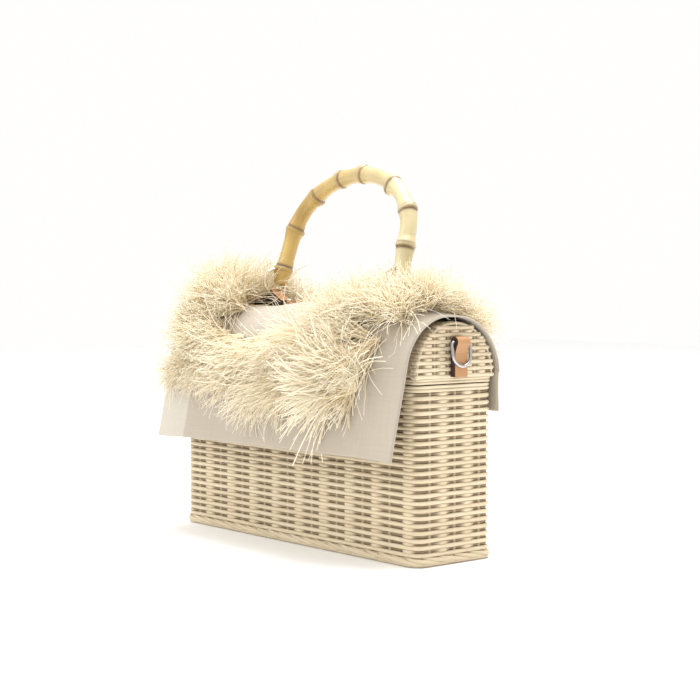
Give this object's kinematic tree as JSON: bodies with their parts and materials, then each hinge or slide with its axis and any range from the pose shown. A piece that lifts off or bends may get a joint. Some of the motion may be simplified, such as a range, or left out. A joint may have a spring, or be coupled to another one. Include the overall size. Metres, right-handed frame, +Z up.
{
  "type": "woven box bag",
  "caption": "Woven reed box bag with a hinged half-round lid, a fringed linen cover over the lid and a bamboo-root top handle on rings.",
  "frame": {"origin": "centre of the underside of the base, on the surface that the bag stands on", "axes": "+X along the bag's length to its right end, +Y to the back where the lid is hinged, +Z up"},
  "size_m": [0.2792, 0.1234, 0.2691],
  "materials": {
    "reed": "natural peeled reed, satin",
    "pale_reed": "thicker peeled reed, satin",
    "batten": "bare wood",
    "linen": "undyed plain-weave linen, stiffened",
    "lining": "plain cotton",
    "raffia": "natural raffia strands, slightly shiny",
    "bamboo": "polished bamboo root",
    "leather": "tan leather with dark painted edges",
    "pale_metal": "polished pale gold plating",
    "silver_metal": "polished nickel plating"
  },
  "bodies": {
    "basket": {"basket_body": "reed", "basket_base": "reed", "foot_border": "pale_reed", "body_rim": "pale_reed", "body_lining": "lining", "hinge_loops": "pale_reed", "cover_back_skirt": "linen"},
    "lid": {"lid_shell": "reed", "lid_rim": "pale_reed", "lid_end_border_left": "pale_reed", "lid_end_border_right": "pale_reed", "lid_lining": "lining", "crown_batten": "batten", "cover": "linen", "fringe_front_upper": "raffia", "fringe_front_lower": "raffia", "fringe_left": "raffia", "fringe_right": "raffia", "fringe_back": "raffia", "handle_tab_left": "leather", "handle_tab_right": "leather", "tab_rivets": "pale_metal", "end_tab_left": "leather", "end_tab_right": "leather"},
    "handle": {"handle": "bamboo", "handle_ring_left": "pale_metal", "handle_ring_right": "pale_metal"},
    "end_ring_left": {"end_ring_left": "silver_metal"},
    "end_ring_right": {"end_ring_right": "silver_metal"}
  },
  "joints": [
    {"name": "lid_hinge", "type": "hinge", "parent": "basket", "child": "lid", "pos_m": [0, 0.0326, 0.1199], "axis": [-1, 0, 0], "range_deg": [0, 95]},
    {"name": "handle_swing", "type": "hinge", "parent": "lid", "child": "handle", "pos_m": [0, 0.003, 0.1845], "axis": [1, 0, 0], "range_deg": [-25, 98]},
    {"name": "left_ring_swing", "type": "hinge", "parent": "lid", "child": "end_ring_left", "pos_m": [-0.13605, 0, 0.1453], "axis": [0, 1, 0], "range_deg": [0, 140]},
    {"name": "right_ring_swing", "type": "hinge", "parent": "lid", "child": "end_ring_right", "pos_m": [0.13605, 0, 0.1453], "axis": [0, -1, 0], "range_deg": [0, 140]}
  ]
}
